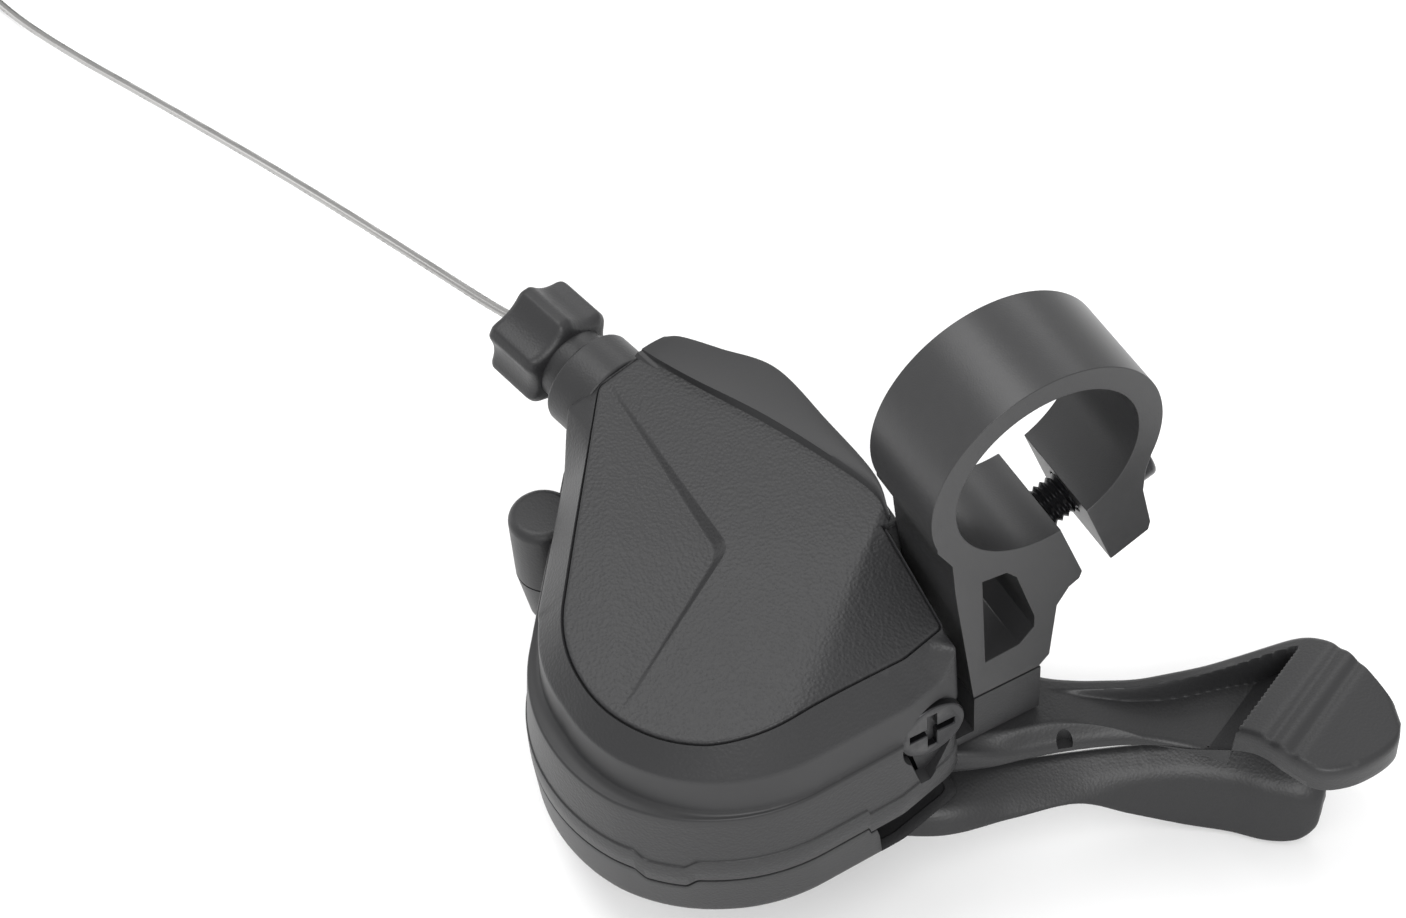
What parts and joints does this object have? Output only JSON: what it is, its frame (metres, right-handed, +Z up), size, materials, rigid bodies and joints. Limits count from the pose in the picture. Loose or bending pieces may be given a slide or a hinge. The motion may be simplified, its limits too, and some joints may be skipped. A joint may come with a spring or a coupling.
{
  "type": "bicycle thumb shifter",
  "caption": "Left-hand thumb shifter with bar clamp, faceted pod, thumb and release levers, ratchet and cable spool, barrel adjuster and gear cable.",
  "frame": {"origin": "centre of the handlebar clamp's bore, halfway across the band", "axes": "+X along the handlebar towards the grip, +Y towards the rider, +Z up and parallel to the axle of the levers"},
  "size_m": [0.2615, 0.0972, 0.0721],
  "materials": {
    "anodised_alloy": "satin black anodised",
    "cover_shell": "fine-grained satin dark grey plastic",
    "moulded_body": "satin black moulded plastic",
    "lever_nylon": "satin glass-filled plastic",
    "spool_nylon": "dark nylon",
    "black_steel": "black zinc",
    "pressed_steel": "zinc-plated",
    "spring_wire": "bright wire",
    "cable_steel": "stranded stainless",
    "cable_alloy": "bright"
  },
  "bodies": {
    "unit": {"clamp_band": "anodised_alloy", "clamp_bolt": "black_steel", "bracket_screw": "black_steel", "frame_body": "moulded_body", "top_cover": "cover_shell", "lower_cover": "moulded_body", "lower_cover_screws": "black_steel", "side_boss_cap": "moulded_body", "cover_screw": "black_steel", "base_plate": "pressed_steel", "axle_bridge": "pressed_steel", "main_axle": "pressed_steel", "axle_nut": "pressed_steel", "holding_pawl_pin": "pressed_steel", "main_return_spring": "spring_wire", "release_spring": "spring_wire", "cable_outlet": "moulded_body", "cable_inner_run": "cable_steel", "shift_cable": "cable_steel", "shift_cable_coil": "cable_steel", "cable_end_cap": "cable_alloy"},
    "main_lever": {"main_lever": "lever_nylon", "lever_sleeve": "pressed_steel", "drive_pawl_pin": "pressed_steel"},
    "drive_pawl": {"drive_pawl": "pressed_steel"},
    "spool": {"cable_spool": "spool_nylon", "ratchet_wheel": "pressed_steel", "cable_head": "cable_steel", "cable_wrap": "cable_steel"},
    "holding_pawl": {"holding_pawl": "pressed_steel"},
    "release_lever": {"release_lever": "lever_nylon"},
    "adjuster": {"barrel_adjuster": "moulded_body", "adjuster_stem": "cable_alloy"}
  },
  "joints": [
    {"name": "main_lever_swing", "type": "hinge", "parent": "unit", "child": "main_lever", "pos_m": [-0.0103, -0.032, -0.05], "axis": [0, 0, 1], "range_deg": [-36, 0], "stiffness_Nm_per_rad": 0.03, "springref_deg": 8.59},
    {"name": "spool_turn", "type": "hinge", "parent": "unit", "child": "spool", "pos_m": [-0.0103, -0.032, -0.027], "axis": [0, 0, 1], "range_deg": [-36, 0]},
    {"name": "drive_pawl_swing", "type": "hinge", "parent": "main_lever", "child": "drive_pawl", "pos_m": [-0.0071, -0.01694, -0.031], "axis": [0, 0, 1], "range_deg": [0, 12], "stiffness_Nm_per_rad": 0.001, "springref_deg": -5.73},
    {"name": "release_lever_swing", "type": "hinge", "parent": "unit", "child": "release_lever", "pos_m": [-0.0103, -0.032, -0.044], "axis": [0, 0, 1], "range_deg": [-14, 8], "stiffness_Nm_per_rad": 0.03},
    {"name": "holding_pawl_swing", "type": "hinge", "parent": "unit", "child": "holding_pawl", "pos_m": [-0.01681, -0.04596, -0.031], "axis": [0, 0, 1], "range_deg": [-5, 4]},
    {"name": "adjuster_turn", "type": "hinge", "parent": "unit", "child": "adjuster", "pos_m": [-0.052, -0.0281, -0.0226], "axis": [0.972, 0.2244, -0.0698], "continuous": true}
  ],
  "couplings": [
    {"joint": "spool_turn", "follows": "main_lever_swing", "ratio": 1},
    {"joint": "holding_pawl_swing", "follows": "release_lever_swing", "ratio": 0.35}
  ]
}
